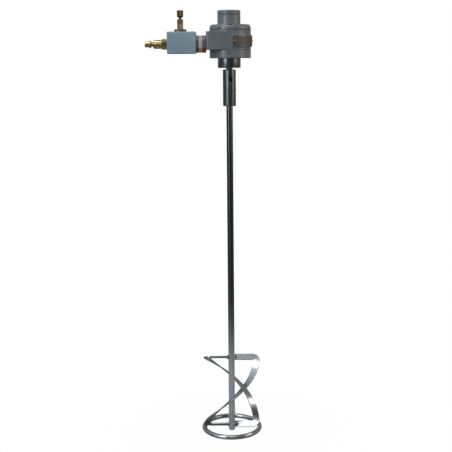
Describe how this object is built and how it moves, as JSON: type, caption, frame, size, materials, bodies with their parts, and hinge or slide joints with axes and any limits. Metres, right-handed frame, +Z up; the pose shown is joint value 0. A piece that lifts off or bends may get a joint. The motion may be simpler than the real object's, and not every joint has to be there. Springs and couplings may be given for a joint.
{
  "type": "tank agitator",
  "caption": "Air-driven tank agitator: vane motor with needle-valve inlet arm and air plug, long shaft, twin-ribbon mixing head on a base ring.",
  "frame": {"origin": "on the shaft axis at the lower face of the lower end plate, where the round pilot neck starts", "axes": "+Z up along the shaft towards the motor's end cap; -X along the air inlet arm; -Y towards the front, the side with the arm's ports; the shaft hangs towards -Z"},
  "size_m": [0.223, 0.124, 0.8548],
  "materials": {
    "grey_paint": "semi-gloss machine enamel on cast iron",
    "block_paint": "semi-gloss blue-grey enamel",
    "gasket_paper": "compressed paper",
    "rubber": "matt",
    "black_steel": "black oxide",
    "ground_steel": "ground",
    "spring_steel": "phosphated",
    "cage_brass": "pressed",
    "nameplate_metal": "etched, bare",
    "cast_iron": "machined",
    "vane_composite": "laminate",
    "shaft_steel": "bright drawn bar",
    "coupling_steel": "turned",
    "head_steel": "bright plated",
    "weld_metal": "as welded",
    "bronze": "polished",
    "nickel_plate": "bright nickel",
    "brass": "turned and tarnished",
    "bright_brass": "turned"
  },
  "bodies": {
    "housing": {"motor_body": "grey_paint", "upper_end_plate": "grey_paint", "lower_end_plate": "grey_paint", "end_cap": "grey_paint", "upper_gasket": "gasket_paper", "lower_gasket": "gasket_paper", "cap_o_ring": "rubber", "cap_screws": "black_steel", "upper_plate_screws": "black_steel", "lower_plate_screws": "black_steel", "dowel_pins": "ground_steel", "nameplate": "nameplate_metal", "nameplate_rivets": "ground_steel", "plate_plug": "grey_paint", "upper_bearing_outer_race": "ground_steel", "lower_bearing_outer_race": "ground_steel", "bearing_spring": "spring_steel", "bearing_retaining_ring": "spring_steel", "shaft_seal": "rubber", "union_tail": "bronze", "union_nut": "nickel_plate", "union_body": "bronze", "valve_block": "block_paint", "valve_collar": "block_paint", "valve_bonnet": "brass", "packing_nut": "brass", "stem_packing": "rubber", "air_plug": "bright_brass"},
    "agitator": {"rotor": "cast_iron", "rotor_vanes": "vane_composite", "rotor_key": "ground_steel", "motor_shaft": "shaft_steel", "shaft_retaining_rings": "spring_steel", "upper_bearing_inner_race": "ground_steel", "lower_bearing_inner_race": "ground_steel", "coupling": "coupling_steel", "coupling_screws": "black_steel", "mixer_shaft": "shaft_steel", "front_ribbon": "head_steel", "rear_ribbon": "head_steel", "base_ring": "head_steel", "shaft_welds": "weld_metal", "ring_welds": "weld_metal"},
    "upper_cage": {"upper_bearing_balls": "ground_steel", "upper_bearing_cage": "cage_brass"},
    "lower_cage": {"lower_bearing_balls": "ground_steel", "lower_bearing_cage": "cage_brass"},
    "needle_carriage": {"stem_o_ring": "rubber"},
    "needle": {"needle_stem": "brass", "valve_knob": "brass", "knob_screw": "brass"}
  },
  "joints": [
    {"name": "agitator_spin", "type": "hinge", "parent": "housing", "child": "agitator", "pos_m": [0, 0, 0], "axis": [0, 0, 1], "continuous": true},
    {"name": "upper_cage_spin", "type": "hinge", "parent": "housing", "child": "upper_cage", "pos_m": [0, 0, 0.07], "axis": [0, 0, 1], "continuous": true},
    {"name": "lower_cage_spin", "type": "hinge", "parent": "housing", "child": "lower_cage", "pos_m": [0, 0, -0.003], "axis": [0, 0, 1], "continuous": true},
    {"name": "needle_rise", "type": "slide", "parent": "housing", "child": "needle_carriage", "axis": [0, 0, 1], "range_m": [-0.00187, 0.00187]},
    {"name": "needle_turn", "type": "hinge", "parent": "needle_carriage", "child": "needle", "pos_m": [-0.0928, -0.0235, 0.07], "axis": [0, 0, 1], "range_deg": [-540.5, 540.5]}
  ],
  "couplings": [
    {"joint": "upper_cage_spin", "follows": "agitator_spin", "ratio": 0.38468},
    {"joint": "lower_cage_spin", "follows": "agitator_spin", "ratio": 0.38468},
    {"joint": "needle_turn", "follows": "needle_rise", "rad_per_m": 5026.5}
  ]
}
